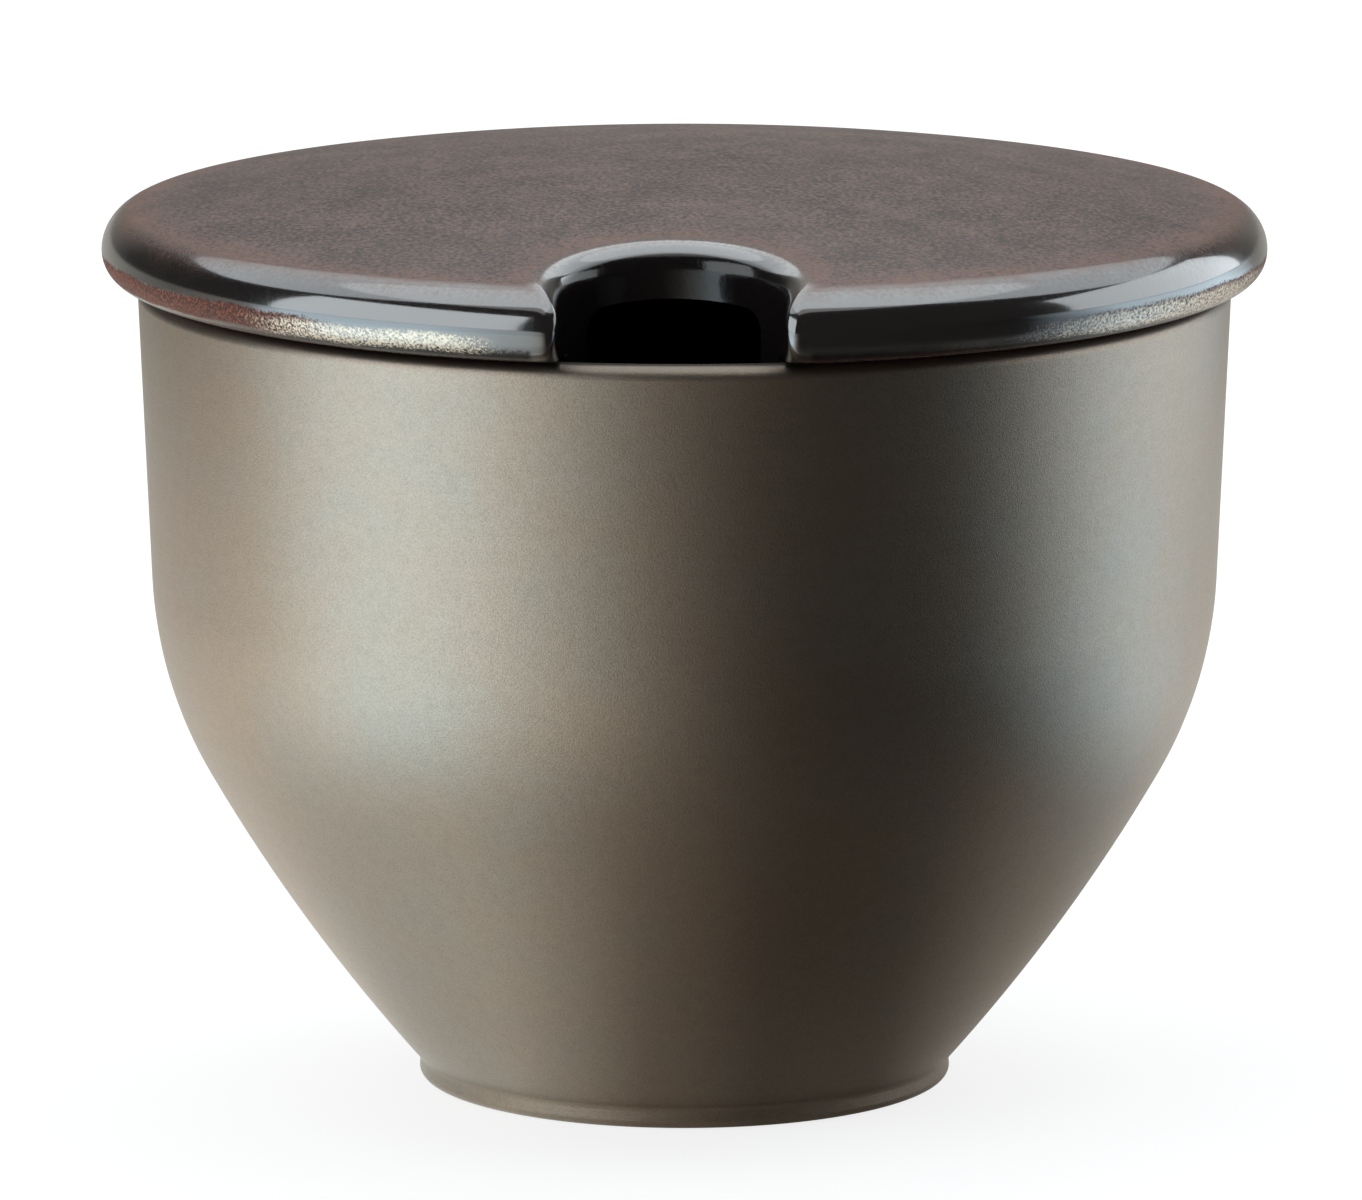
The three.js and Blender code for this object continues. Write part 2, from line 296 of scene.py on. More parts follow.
def lid_rings():
    """Rings of the lid's skin, from below the seat up round its edge and over the dome."""
    lowest = SEAT_HEIGHT - 2 * RING_DEPTH
    inner = LID_RADIUS - EDGE_UNDER_ROUND - EDGE_UNDER_ROUND / 2
    below = SEAT_HEIGHT - EDGE_UNDER_ROUND / 4
    rings = [
        ring(lid_outline(inner, 0, NOTCH_CORNER), lowest, lambda radius: lowest),
        ring(lid_outline(inner, 0, NOTCH_CORNER), below, lambda radius: below),
    ]
    for i in range(UNDER_RINGS):
        share = i / UNDER_RINGS
        turn = math.pi / 2 * share
        outline = lid_outline(LID_RADIUS - EDGE_UNDER_ROUND * (1 - math.sin(turn)), 0, NOTCH_CORNER)
        edge = EDGE_HEIGHT - EDGE_UNDER_ROUND * math.cos(turn)
        rings.append(ring(outline, edge, lambda radius: mix(SEAT_HEIGHT, notch_wall_top(radius), share)))
    for i in range(ROLL_RINGS + 1):
        share = i / ROLL_RINGS
        edge_turn = EDGE_TURN * share
        notch_turn = math.pi / 2 * share
        outline = lid_outline(
            LID_RADIUS - EDGE_OVER_ROUND * (1 - math.cos(edge_turn)),
            NOTCH_ROLL * (1 - math.cos(notch_turn)),
            mix(NOTCH_CORNER, NOTCH_CORNER_ON_TOP, share),
        )
        edge = EDGE_HEIGHT + EDGE_OVER_ROUND * math.sin(edge_turn)
        drop = NOTCH_ROLL * (1 - math.sin(notch_turn))
        rings.append(ring(outline, edge, lambda radius: top_height(radius) - drop))
    last = rings[-1]
    circle = circle_behind_notch(last)
    for i in range(1, DOME_RINGS + 1):
        places = [point.lerp(target, i / DOME_RINGS) for point, target in zip(last, circle)]
        rings.append([Vector((p.x, p.y, top_height(math.hypot(p.x, p.y)))) for p in places])
    return rings


def circle_behind_notch(points):
    """A plain circle on the dome, clear of the notch, with points spread as the ring's own points are."""
    radius = LID_RADIUS - NOTCH_DEPTH - NOTCH_ROLL - PLAIN_RING_INSET
    along = [0]
    for point, after in zip(points, points[1:] + points[:1]):
        along.append(along[-1] + (after - point).length)
    middle = along[CIRCLE_COLUMNS + CORNER_COLUMNS + WALL_COLUMNS + NOTCH_END_COLUMNS // 2]
    circle = []
    for place in along[:-1]:
        angle = -math.pi / 2 + 2 * math.pi * (place - middle) / along[-1]
        circle.append(Vector((radius * math.cos(angle), radius * math.sin(angle), 0)))
    return circle


def lid_skin():
    """The lid's outside: a circle shaped to the first ring and extruded ring by ring, then subdivided."""
    rings = lid_rings()
    columns = len(rings[0])
    bpy.ops.object.select_all(action="DESELECT")
    bpy.ops.mesh.primitive_circle_add(vertices=columns, radius=LID_RADIUS, fill_type="NOTHING")
    skin = bpy.context.active_object
    skin.name = "lid_glazed"
    bpy.ops.object.mode_set(mode="EDIT")
    mesh = bmesh.from_edit_mesh(skin.data)
    column = mesh.verts.layers.int.new("column")
    for vertex in mesh.verts:
        vertex[column] = vertex.index
    bmesh.update_edit_mesh(skin.data)
    for i, points in enumerate(rings):
        if i > 0:
            bpy.ops.mesh.extrude_region_move(TRANSFORM_OT_translate={"value": (0, 0, 0)})
        mesh = bmesh.from_edit_mesh(skin.data)
        column = mesh.verts.layers.int["column"]
        for vertex in mesh.verts:
            if vertex.select:
                vertex.co = points[vertex[column]]
        bmesh.update_edit_mesh(skin.data)
    bpy.ops.mesh.fill_grid(span=columns // 4)
    mesh = bmesh.from_edit_mesh(skin.data)
    for vertex in mesh.verts:
        if vertex.select:
            vertex.co.z = top_height(vertex.co.xy.length)
    bmesh.update_edit_mesh(skin.data)
    bpy.ops.object.mode_set(mode="OBJECT")
    apply_modifier(skin, "SUBSURF", levels=SUBDIVISIONS, render_levels=SUBDIVISIONS)
    widest = max(vertex.co.xy.length for vertex in skin.data.vertices)
    bpy.ops.object.mode_set(mode="EDIT")
    bpy.ops.mesh.select_all(action="SELECT")
    share = LID_RADIUS / widest
    bpy.ops.transform.resize(value=(share, share, 1), center_override=(0, 0, 0))
    bpy.ops.mesh.select_all(action="DESELECT")
    bpy.ops.mesh.select_mode(type="EDGE")
    bpy.ops.mesh.select_non_manifold()
    bpy.ops.mesh.edge_face_add()
    bpy.ops.mesh.select_all(action="SELECT")
    bpy.ops.mesh.normals_make_consistent(inside=False)
    bpy.ops.object.mode_set(mode="OBJECT")
    return skin


def underside_profile():
    """Hollow, locating ring and seat of the lid, as a block that reaches past the lid everywhere else."""
    ring_inner = RING_RADIUS - RING_THICKNESS
    ring_foot = SEAT_HEIGHT - RING_DEPTH
    hollow = DOME_RADIUS - LID_THICKNESS
    round_radius = ring_inner - RING_ROUND
    round_turn = math.acos(round_radius / (hollow - RING_ROUND))
    round_centre = Vector((round_radius, DOME_CENTRE + (hollow - RING_ROUND) * math.sin(round_turn)))
    foot_inner = Vector((ring_inner + RING_FOOT_ROUND, ring_foot + RING_FOOT_ROUND))
    foot_outer = Vector((RING_RADIUS - RING_FOOT_ROUND, ring_foot + RING_FOOT_ROUND))
    past = LID_RADIUS + EDGE_OVER_ROUND
    above = LID_TOP + LID_THICKNESS
    seat = SEAT_HEIGHT + SEAT_TRIM
    quarter = math.pi / 2
    disc_turn = math.acos(DISC_RADIUS / hollow)
    return [
        *arc(Vector((0, DOME_CENTRE)), hollow, disc_turn, round_turn),
        *arc(round_centre, RING_ROUND, round_turn, 0),
        *arc(foot_inner, RING_FOOT_ROUND, -math.pi, -quarter),
        *arc(foot_outer, RING_FOOT_ROUND, -quarter, 0),
        Vector((RING_RADIUS, seat)),
        Vector((past, seat)),
        Vector((past, above)),
        Vector((DISC_RADIUS, above)),
    ]


def make_lid():
    lid = lid_skin()
    block = turned("lid_underside", underside_profile())
    apply_modifier(lid, "BOOLEAN", operation="INTERSECT", object=block, solver="EXACT")
    bpy.data.objects.remove(block)
    smooth(lid)
    return lid


# Finishes


class Value:
    """A shader socket that adds Math nodes when it is used in an expression."""

    def __init__(self, nodes, socket):
        self.nodes = nodes
        self.socket = socket

    def math(self, operation, *values):
        sockets = {i: value for i, value in enumerate(values)}
        return self.nodes.node("Math", {"operation": operation}, sockets)

    def __add__(self, other):
        return self.math("ADD", self, other)

    def __radd__(self, other):
        return self.math("ADD", other, self)

    def __sub__(self, other):
        return self.math("SUBTRACT", self, other)

    def __rsub__(self, other):
        return self.math("SUBTRACT", other, self)

    def __mul__(self, other):
        return self.math("MULTIPLY", self, other)

    def __rmul__(self, other):
        return self.math("MULTIPLY", other, self)

    def __truediv__(self, other):
        return self.math("DIVIDE", self, other)

    def __rtruediv__(self, other):
        return self.math("DIVIDE", other, self)

    def __pow__(self, other):
        return self.math("POWER", self, other)

    def __rpow__(self, other):
        return self.math("POWER", other, self)

    def above(self, other):
        return self.math("MAXIMUM", self, other)

    def below(self, other):
        return self.math("MINIMUM", self, other)


class Nodes:
    """A node tree while it is written."""

    def __init__(self, tree):
        self.tree = tree

    def node(self, kind, settings=None, sockets=None, output=None):
        """A new node: its settings first, then its sockets, by name or number. Gives one output."""
        made = self.tree.nodes.new("ShaderNode" + kind)
        for key, value in (settings or {}).items():
            if key == "stops":
                self.set_stops(made.color_ramp, value)
            else:
                setattr(made, key, value)
        for key, value in (sockets or {}).items():
            self.feed(self.socket(made.inputs, key), value)
        shown = [s for s in made.outputs if s.enabled]
        return Value(self, shown[0] if output is None else self.socket(made.outputs, output))

    def socket(self, sockets, key):
        if isinstance(key, int):
            return sockets[key]
        return next(s for s in sockets if s.name == key and s.enabled)

    def feed(self, socket, value):
        if isinstance(value, Value):
            self.tree.links.new(value.socket, socket)
        else:
            socket.default_value = value

    def set_stops(self, ramp, stops):
        while len(ramp.elements) < len(stops):
            ramp.elements.new(1)
        for element, (position, colour) in zip(ramp.elements, stops):
            element.position = position
            element.color = colour

    def seen(self):
        """1 for rays that show the background: camera, glossy and transmission rays."""
        camera = self.node("LightPath", output="Is Camera Ray")
        glossy = self.node("LightPath", output="Is Glossy Ray")
        transmission = self.node("LightPath", output="Is Transmission Ray")
        return camera.above(glossy).above(transmission)


class Finish(Nodes):
    """A surface while its material is written."""

    def __init__(self, name):
        self.material = bpy.data.materials.new(name)
        self.material.use_nodes = True
        super().__init__(self.material.node_tree)
        self.principled = self.tree.nodes["Principled BSDF"]
        self.place = self.node("TexCoord", output="Object")

    def set(self, **sockets):
        """Feeds the surface shader's sockets, named with underscores for spaces."""
        for key, value in sockets.items():
            self.feed(self.principled.inputs[key.replace("_", " ")], value)

    def axis(self, name):
        return self.node("SeparateXYZ", sockets={"Vector": self.place}, output=name)

    def turn(self):
        """Azimuth round the object, from 0 to 1: a half is the side of the notch, and its right follows."""
        x = self.axis("X")
        return x.math("ARCTAN2", x, -1 * self.axis("Y")) / math.tau + 0.5

    def noise(self, size, detail, roughness=0.6, stretch=(1, 1, 1)):
        """Noise from 0 to 1 with lumps of about that size in metres."""
        place = self.node("Mapping", sockets={"Vector": self.place, "Scale": stretch})
        return self.node(
            "TexNoise",
            sockets={"Vector": place, "Scale": 1 / size, "Detail": detail, "Roughness": roughness},
        )

    def step(self, value, low, high):
        """0 below low and 1 above high, smooth between. High may lie under low."""
        sockets = {"Value": value, "From Min": low, "From Max": high}
        return self.node("MapRange", {"interpolation_type": "SMOOTHSTEP"}, sockets)

    def blend(self, share, first, second):
        """A colour between two, by share."""
        sockets = {"Factor": share, "A": first, "B": second}
        return self.node("Mix", {"data_type": "RGBA"}, sockets)

    def bump(self, height, distance):
        return self.node("Bump", sockets={"Height": height, "Distance": distance, "Strength": 1.0})


def colour(red, green, blue):
    return (red, green, blue, 1)


def grey(level):
    return colour(level, level, level)


def round_stops(*stops):
    """Stops of a ramp round the object, from azimuths in degrees and levels."""
    return [(angle / 360 + 0.5, grey(level)) for angle, level in stops]


# Satin bronze
BRONZE_GRAIN = 0.14 * MM
BRONZE_MOTTLE = 1.1 * MM
BRONZE_CLOUD = 9 * MM
WHEEL_LINE = 0.5 * MM
WHEEL_STRETCH = (0.04, 0.04, 1)
BRONZE_RELIEF = 0.018 * MM
PATCHY = (0.35, 0.7)  # the part of a noise's range over which a patch fades in
BRONZE_WARM = colour(0.252, 0.204, 0.161)
BRONZE_COOL = colour(0.242, 0.208, 0.173)
BRONZE_DARK = colour(0.138, 0.109, 0.084)
GRAIN_DARKENING = 0.42
MOTTLE_DARKENING = 0.1
# Painted shade: the glaze darkens over the top of the lip, where the lid's edge shades it
LIP_SHADE_COLOUR = colour(0.05, 0.045, 0.04)
LIP_SHADE_SHARE = 0.65
LIP_SHADE_FADE = (BOWL_HEIGHT - LIP_OUTER_ROUND, BOWL_HEIGHT - 0.2 * MM)


def satin_bronze():
    """Grey-brown metallic glaze with fine grain, faint cloudy patches and fainter lines from the wheel, and
    painted shade over the top of the lip, under the lid.
    """
    f = Finish("satin_bronze")
    grain = f.noise(BRONZE_GRAIN, detail=2)
    mottle = f.noise(BRONZE_MOTTLE, detail=3)
    cloud = f.noise(BRONZE_CLOUD, detail=4)
    lines = f.noise(WHEEL_LINE, detail=2, stretch=WHEEL_STRETCH)
    tone = f.blend(f.step(cloud, *PATCHY), BRONZE_WARM, BRONZE_COOL)
    dark = GRAIN_DARKENING * f.step(grain, *PATCHY) + MOTTLE_DARKENING * f.step(mottle, *PATCHY)
    tone = f.blend(dark, tone, BRONZE_DARK)
    # painted shade over the top of the lip, under the lid
    lip = f.step(f.axis("Z"), *LIP_SHADE_FADE)
    f.set(
        Base_Color=f.blend(LIP_SHADE_SHARE * lip, tone, LIP_SHADE_COLOUR),
        Metallic=1.0,
        Roughness=0.32 + 0.1 * grain + 0.04 * lines,
        Normal=f.bump(grain + 0.3 * lines, BRONZE_RELIEF),
    )
    return f.material


# Brown gloss: grain, how far the gloss reaches in from the lid's edge and the notch, colours and shares
SPECKLE = 0.4 * MM
SPECKLE_RELIEF = 0.03 * MM
PATCH = 6 * MM
DUST = 0.18 * MM
GRIT = 0.22 * MM
EDGE_GLOSS = 1.4 * MM
EDGE_GLOSS_LESS_AT_SIDES = 0.8 * MM
NOTCH_GLOSS_SHORT = 0.9 * MM
RAGGED_BY_SPECKLE = 1.6 * MM
RAGGED_BY_PATCH = 1.2 * MM
GLOSS_FADE = (2.2 * MM, -0.5 * MM)
FRINGE_FADE = (6 * MM, 1 * MM)
TOP_DARK = colour(0.026, 0.021, 0.02)
TOP_BROWN = colour(0.148, 0.094, 0.078)
TOP_BROWN_FADE = (0.48, 0.86)
TOP_DUST = colour(0.03, 0.024, 0.023)
TOP_DUST_FADE = (0.5, 0.72)
TOP_DUST_SHARE = 0.75
TOP_FRINGE = colour(0.13, 0.052, 0.033)
TOP_FRINGE_SHARE = 0.5
GLOSS_BLACK = colour(0.005, 0.004, 0.004)

# Thin glaze on the lid's side: where it starts, heights over the seat, colours and the noise they follow
SIDE_FADE = (3.2 * MM, 2.6 * MM)
SIDE_FROM_NOTCH = (0, 0.6 * MM)
NOTCH_WALL_FADE = (-0.75 * NOTCH_ROLL, -0.95 * NOTCH_ROLL)
UNEVEN_BY_GRIT = 0.9 * MM
UNEVEN_BY_PATCH = 0.8 * MM
RUST_BOTTOM = (0.7 * MM, 1.3 * MM)
RUST_TOP = (3 * MM, 2.3 * MM)
GLINT_BOTTOM = (0.5 * MM, 1.1 * MM)
GLINT_TOP = (2.9 * MM, 2 * MM)
RIM_TOP = (1.5 * MM, 0.9 * MM)
RUST_DARK = colour(0.022, 0.006, 0.004)
RUST_BRIGHT = colour(0.2, 0.05, 0.022)
RUST_BRIGHT_FADE = (0.42, 0.66)
RUST_FADE = (0.1, 0.6)
# metal colour of the silvery crystals, placed to glint where the side mirrors the softboxes
GLINT_CRYSTAL = colour(0.42, 0.35, 0.27)
GLINT_CRYSTAL_FADE = (0.48, 0.85)
GLINT_FADE = (0, 0.5)

# How much rust and how many silvery crystals show round the lid's side. The crystals stand only where the
# side mirrors the softboxes, a painted glint band, and rust is less there
RUST_STOPS = round_stops(
    (-180, 0.8), (-55, 1), (-42, 0.9), (-34, 0.25), (-12, 0.15),
    (0, 0), (32, 0), (46, 0.4), (75, 0.8), (180, 0.8),
)
GLINT_STOPS = round_stops(
    (-180, 0.15), (-48, 0), (-38, 0.85), (-21, 1), (-15.5, 0),
    (34, 0), (46, 0.85), (70, 0.85), (85, 0.15),
)


def brown_gloss():
    """Reactive glaze: satin brown on the flat, black gloss over an edge, rust and crystals where thin; the
    crystals are put only where the side mirrors the softboxes, a painted glint band.
    """
    f = Finish("brown_gloss")
    x = f.axis("X")
    y = f.axis("Y")
    z = f.axis("Z")
    radius = (x * x + y * y) ** 0.5
    back = (y - NOTCH_END_START).above(0)
    across = x / (NOTCH_HALF + NOTCH_ROLL)
    along = back / (NOTCH_END_LENGTH + NOTCH_ROLL)
    from_notch = ((across * across + along * along) ** 0.5 - 1) * (NOTCH_HALF + NOTCH_ROLL)
    from_edge = LID_RADIUS - radius

    speckle = f.noise(SPECKLE, detail=3, roughness=0.65)
    patch = f.noise(PATCH, detail=3)
    dust = f.noise(DUST, detail=2)
    grit = f.noise(GRIT, detail=3)

    ragged = (speckle - 0.5) * RAGGED_BY_SPECKLE + (patch - 0.5) * RAGGED_BY_PATCH
    sideways = x / LID_RADIUS
    from_gloss = from_edge - EDGE_GLOSS + sideways * sideways * EDGE_GLOSS_LESS_AT_SIDES
    inwards = from_gloss.below(from_notch + NOTCH_GLOSS_SHORT) + ragged
    gloss = f.step(inwards, *GLOSS_FADE)
    fringe = f.step(inwards, *FRINGE_FADE)
    rusty = f.step(speckle + 0.3 * patch + 0.08 * fringe, *TOP_BROWN_FADE)
    top = f.blend(rusty, TOP_DARK, TOP_BROWN)
    top = f.blend(TOP_DUST_SHARE * f.step(dust, *TOP_DUST_FADE), top, TOP_DUST)
    top = f.blend(fringe * rusty * TOP_FRINGE_SHARE, top, TOP_FRINGE)

    height = z - SEAT_HEIGHT + (grit - 0.5) * UNEVEN_BY_GRIT + (patch - 0.5) * UNEVEN_BY_PATCH
    side = f.step(from_edge, *SIDE_FADE) * f.step(from_notch, *SIDE_FROM_NOTCH)
    rust_round = f.node("ValToRGB", {"stops": RUST_STOPS}, {"Fac": f.turn()})
    glint_round = f.node("ValToRGB", {"stops": GLINT_STOPS}, {"Fac": f.turn()})
    rust = f.step(height, *RUST_BOTTOM) * f.step(height, *RUST_TOP) * side * rust_round
    rust = f.step(rust, *RUST_FADE)
    # painted glint band: silvery crystals only where the side mirrors the softboxes
    glint_band = f.step(height, *GLINT_BOTTOM) * f.step(height, *GLINT_TOP) * side * glint_round
    crystals = f.step(grit + 0.25 * glint_band, *GLINT_CRYSTAL_FADE) * f.step(glint_band, *GLINT_FADE)
    rim = side * f.step(height, *RIM_TOP)
    notch_wall = f.step(from_notch, *NOTCH_WALL_FADE)

    shade = f.blend(gloss, top, GLOSS_BLACK)
    rust_tone = f.blend(f.step(grit, *RUST_BRIGHT_FADE), RUST_DARK, RUST_BRIGHT)
    shade = f.blend(rust, shade, rust_tone)
    f.set(
        Base_Color=f.blend(crystals, shade, GLINT_CRYSTAL),
        Metallic=crystals,
        Roughness=0.42 - 0.28 * gloss + 0.5 * rust * (1 - crystals) + 0.2 * crystals,
        IOR=1.5,
        Specular_IOR_Level=0.18,
        Coat_Weight=gloss * (1 - 0.95 * rust.above(crystals)) * (1 - rim) * (1 - 0.85 * notch_wall),
        Coat_IOR=2.0,
        Coat_Roughness=0.09,
        Normal=f.bump(speckle, SPECKLE_RELIEF),
    )
    return f.material


# Dark gloss inside the bowl
INSIDE_SPECKLE = 0.7 * MM
INSIDE_DARK = colour(0.02, 0.013, 0.011)
INSIDE_BROWN = colour(0.09, 0.032, 0.018)
INSIDE_BROWN_FADE = (0.45, 0.75)


def inside_gloss():
    """Dark, even gloss inside the bowl."""
    f = Finish("inside_gloss")
    speckle = f.noise(INSIDE_SPECKLE, detail=4, roughness=0.65)
    f.set(
        Base_Color=f.blend(f.step(speckle, *INSIDE_BROWN_FADE), INSIDE_DARK, INSIDE_BROWN),
        Roughness=0.25,
        Coat_Weight=0.6,
        Coat_Roughness=0.06,
    )
    return f.material


# Bare stoneware
GROG = 0.5 * MM
GROG_RELIEF = 0.05 * MM
CLAY_DARK = colour(0.2, 0.17, 0.14)
CLAY_PALE = colour(0.42, 0.37, 0.31)


def bare_stoneware():
    """Unglazed clay under the foot ring."""
    f = Finish("bare_stoneware")
    grog = f.noise(GROG, detail=5, roughness=0.7)
    f.set(
        Base_Color=f.blend(grog, CLAY_DARK, CLAY_PALE),
        Roughness=0.85,
        Normal=f.bump(grog, GROG_RELIEF),
    )
    return f.material


# Stage

FLOOR_SIZE = 6.0
FLOOR_GAP = 0.05 * MM
FLOOR_COLOUR = 0.75
SHOWN_GLOW = 0.8
SHOWN_DIFFUSE = 0.22
AMBIENT = 0.15
GLOW_SHEET_START = 22.4 * MM
NEAR_END_FADE = (50 * MM, 130 * MM)
FAR_END_FADE = (350 * MM, 450 * MM)
WALL_FADE = (60 * MM, 160 * MM)
SURROUND_RADIUS = 1.6
SURROUND_HEIGHT = 2.2

# Softboxes: angles in radians, sizes in metres, radiance of the face where white is 1
LAMP_TINT = (0.9, 0.96, 1.0)
LEFT_SOFTBOX = {
    "azimuth": math.radians(-58), "distance": 0.9, "low": 0.1, "width": 0.92, "height": 0.7, "radiance": 3.3
}
RIGHT_SOFTBOX = {
    "azimuth": math.radians(110), "distance": 0.9, "low": 0.1, "width": 1.02, "height": 0.52, "radiance": 2.7
}
TOP_SOFTBOX = {
    "place": Vector((0, 0.6, 1.05)), "facing": Vector((0, 0, -1)), "width": 2.9, "height": 2.1,
    "radiance": 1.9, "shape": "ELLIPSE",
}

# Painted reflections: what the glazes mirror round the object, as the glow of the surround: azimuth in
# degrees, level and tint. Near, far and beyond are rings of the glowing floor sheet, from the foot outwards.
LEFT_TINT = (0.75, 0.945, 1.05)
RIGHT_TINT = (0.7, 0.92, 1.08)
LID_TINT = (0.78, 0.93, 1.03)
WHITE = (1, 0.96, 0.88)
SOFT = (0.93, 0.98, 0.95)
WARM = (1, 0.9, 0.78)
NEAR_STOPS = (
    (-180, 0.4, WARM), (-160, 0.7, WHITE), (-110, 1.45, WHITE), (-80, 1.3, SOFT), (-40, 1.4, SOFT),
    (-8, 0.38, WARM), (18, 0.115, WARM), (50, 0.12, WHITE), (85, 0.5, WHITE), (125, 0.65, WHITE),
    (160, 0.6, WHITE), (180, 0.4, WARM),
)
FAR_STOPS = (
    (-180, 0.4, WARM), (-160, 0.8, WHITE), (-110, 1.6, WHITE), (-86, 2.0, WHITE), (-72, 3.6, LEFT_TINT),
    (-46, 3.8, LEFT_TINT), (-26, 1.8, SOFT), (-8, 0.6, WARM), (10, 0.07, WARM), (67, 0.045, WHITE),
    (104, 3.0, RIGHT_TINT), (124, 1.4, WHITE), (148, 0.9, WHITE), (165, 0.7, WHITE), (180, 0.4, WARM),
)
BEYOND_STOPS = (
    (-180, 0.45, WHITE), (-115, 0.35, WHITE), (-92, 0.7, WHITE), (-82, 3.2, LID_TINT), (-48, 3.4, LID_TINT),
    (-24, 1.3, SOFT), (-6, 0.36, WARM), (10, 0.085, WARM), (70, 0.035, WHITE), (93, 2.8, LID_TINT),
    (130, 2.6, LID_TINT), (148, 0.3, WHITE), (180, 0.45, WHITE),
)
WALL_STOPS = ((-180, 0.4, WHITE), (-140, 0.06, WHITE), (140, 0.06, WHITE), (180, 0.4, WHITE))
# Painted contact shadow: the surround glows darker near the foot
CONTACT_SHADOW_SHARE = 0.2
CONTACT_SHADOW_LEVEL = 0.42
CONTACT_SHADOW_FADE = (44 * MM, 24 * MM)


def towards(azimuth, elevation):
    """Unit vector from the object. Azimuth 0 is the side of the notch, and 90 degrees is to its right."""
    level = math.cos(elevation)
    return Vector((math.sin(azimuth) * level, -math.cos(azimuth) * level, math.sin(elevation)))


def make_camera():
    camera = bpy.data.objects.new("camera", bpy.data.cameras.new("camera"))
    scene.collection.objects.link(camera)
    camera.data.lens = FOCAL_LENGTH
    camera.data.sensor_width = SENSOR_WIDTH
    back = towards(CAMERA_AZIMUTH, CAMERA_ELEVATION)
    camera.location = CAMERA_AIM + back * CAMERA_DISTANCE
    camera.rotation_mode = "QUATERNION"
    camera.rotation_quaternion = (-back).to_track_quat("-Z", "Y")
    scene.camera = camera


def softbox(name, place, facing, width, height, radiance, shape="RECTANGLE"):
    """A flat lamp that looks along facing, with the brightness of its face."""
    lamp = bpy.data.lights.new(name, "AREA")
    lamp.shape = shape
    lamp.size = width
    lamp.size_y = height
    area = width * height * (math.pi / 4 if shape == "ELLIPSE" else 1)
    lamp.energy = radiance * math.pi * area
    lamp.color = LAMP_TINT
    holder = bpy.data.objects.new(name, lamp)
    holder.location = place
    holder.rotation_mode = "QUATERNION"
    holder.rotation_quaternion = facing.to_track_quat("-Z", "Y")
    scene.collection.objects.link(holder)


def upright_softbox(name, azimuth, distance, low, width, height, radiance):
    """An upright softbox that faces the object."""
    out = towards(azimuth, 0)
    place = out * distance + Vector((0, 0, low + height / 2))
    softbox(name, place, -out, width, height, radiance)


def make_world():
    scene.world = bpy.data.worlds.new("studio")
    scene.world.use_nodes = True
    world = Nodes(scene.world.node_tree)
    background = world.tree.nodes["Background"]
    world.feed(background.inputs["Color"], grey(1))
    world.feed(background.inputs["Strength"], AMBIENT + (1 - AMBIENT) * world.seen())


def make_floor():
    """A pale floor that shows as the background does and keeps the object's shadow."""
    bpy.ops.object.select_all(action="DESELECT")
    bpy.ops.mesh.primitive_plane_add(size=FLOOR_SIZE, location=(0, 0, -FLOOR_GAP))
    floor = bpy.context.active_object
    floor.name = "floor"
    material = bpy.data.materials.new("pale_floor")
    material.use_nodes = True
    f = Nodes(material.node_tree)
    f.tree.nodes.remove(f.tree.nodes["Principled BSDF"])
    lighting = f.node("BsdfDiffuse", sockets={"Color": grey(FLOOR_COLOUR)})
    shadowed = f.node("BsdfDiffuse", sockets={"Color": grey(SHOWN_DIFFUSE)})
    glow = f.node("Emission", sockets={"Strength": SHOWN_GLOW})
    shown = f.node("AddShader", sockets={0: shadowed, 1: glow})
    surface = f.node("MixShader", sockets={0: f.seen(), 1: lighting, 2: shown})
    f.feed(f.tree.nodes["Material Output"].inputs["Surface"], surface)
    floor.data.materials.append(material)


def ramp_round(f, stops):
    """A colour that changes with the azimuth round the object."""
    colours = [
        (angle / 360 + 0.5, colour(*(level * share for share in tint))) for angle, level, tint in stops
    ]
    return f.node("ValToRGB", {"stops": colours}, {"Fac": f.turn()}, "Color")


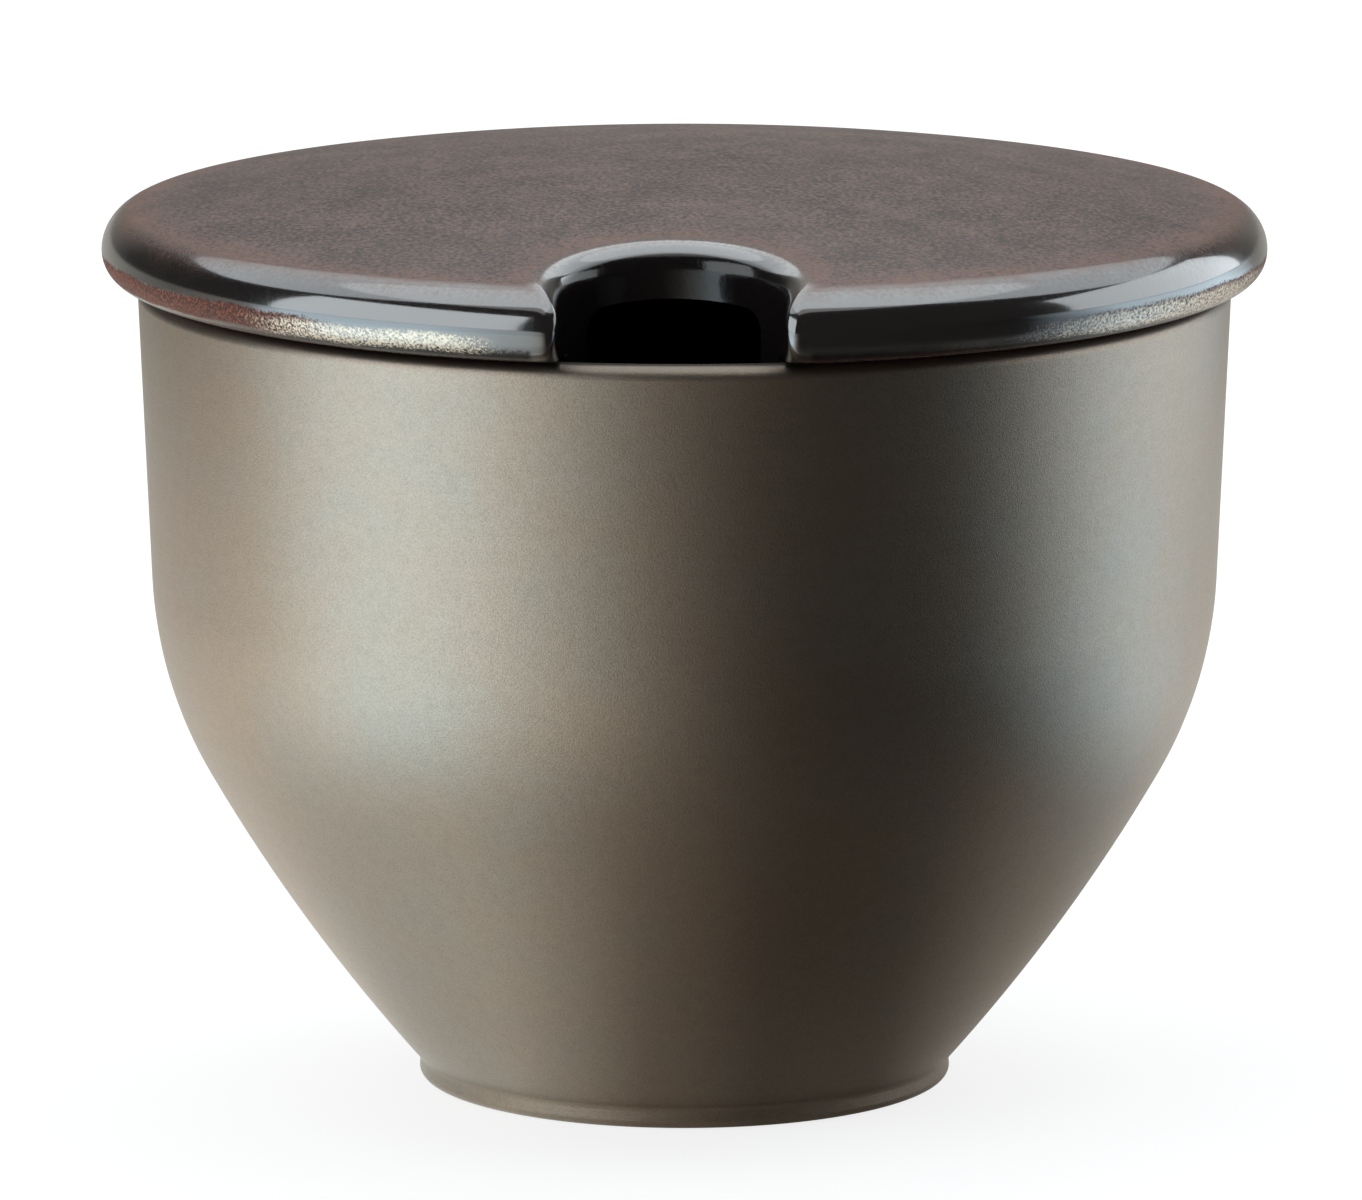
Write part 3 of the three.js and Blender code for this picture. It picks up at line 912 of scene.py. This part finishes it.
def make_surround():
    """Glowing floor sheet and round wall that only the gloss of the glazes sees: painted reflections of the
    studio, bright where the softboxes stand and dark elsewhere.
    """
    bpy.ops.object.select_all(action="DESELECT")
    bpy.ops.mesh.primitive_circle_add(vertices=TURN_STEPS, radius=GLOW_SHEET_START, fill_type="NOTHING")
    sheet = bpy.context.active_object
    sheet.name = "surround"
    bpy.ops.object.mode_set(mode="EDIT")
    bpy.ops.transform.translate(value=(0, 0, FLOOR_GAP))
    bpy.ops.mesh.extrude_region_move()
    share = SURROUND_RADIUS / GLOW_SHEET_START
    bpy.ops.transform.resize(value=(share, share, 1), center_override=(0, 0, FLOOR_GAP))
    bpy.ops.mesh.extrude_region_move(TRANSFORM_OT_translate={"value": (0, 0, SURROUND_HEIGHT)})
    bpy.ops.object.mode_set(mode="OBJECT")
    # painted reflections: the sheet glows by azimuth and by distance from the foot
    f = Finish("surround")
    x = f.axis("X")
    y = f.axis("Y")
    radius = (x * x + y * y) ** 0.5
    level = f.blend(f.step(radius, *NEAR_END_FADE), ramp_round(f, NEAR_STOPS), ramp_round(f, FAR_STOPS))
    level = f.blend(f.step(radius, *FAR_END_FADE), level, ramp_round(f, BEYOND_STOPS))
    # painted contact shadow round the foot
    contact_shadow = CONTACT_SHADOW_SHARE * f.step(radius, *CONTACT_SHADOW_FADE)
    level = f.blend(contact_shadow, level, colour(*(CONTACT_SHADOW_LEVEL * share for share in WHITE)))
    f.set(
        Base_Color=grey(0),
        Specular_IOR_Level=0.0,
        Emission_Color=f.blend(f.step(f.axis("Z"), *WALL_FADE), level, ramp_round(f, WALL_STOPS)),
        Emission_Strength=1.0,
    )
    sheet.data.materials.append(f.material)
    sheet.visible_camera = False
    sheet.visible_diffuse = False
    sheet.visible_shadow = False
    sheet.visible_transmission = False


def give(piece, materials, choose):
    """Puts the materials on the piece and gives each face the one that choose names, by its number."""
    piece.data.materials.clear()
    for material in materials:
        piece.data.materials.append(material)
    for face in piece.data.polygons:
        face.material_index = choose(face.center, face.normal)


# Where one finish of the bowl ends, by how far a face looks up and by its height
LIP_FACING = 0.6
FOOT_FACING = -0.9
FOOT_FACE_TOP = 0.1 * MM


def bowl_finish(centre, normal):
    """0 outside and over the lip, 1 inside, 2 where the foot ring stands."""
    outwards = normal.xy.dot(centre.xy)
    if centre.z > FOOT_RECESS + FLOOR / 2 and normal.z < LIP_FACING and outwards < 0:
        return 1
    if centre.z < BOWL_HEIGHT / 2 and normal.z > LIP_FACING:
        return 1
    if normal.z < FOOT_FACING and centre.z < FOOT_FACE_TOP:
        return 2
    return 0


make_camera()
scene.view_settings.view_transform = "Standard"
make_world()
make_floor()
make_surround()
upright_softbox("left_softbox", **LEFT_SOFTBOX)
upright_softbox("right_softbox", **RIGHT_SOFTBOX)
softbox("top_softbox", **TOP_SOFTBOX)

bowl = make_bowl()
lid = make_lid()
give(bowl, [satin_bronze(), inside_gloss(), bare_stoneware()], bowl_finish)
give(lid, [brown_gloss()], lambda centre, normal: 0)
for piece, body in ((bowl, "bowl"), (lid, "lid")):
    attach(piece, body)
    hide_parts(body)
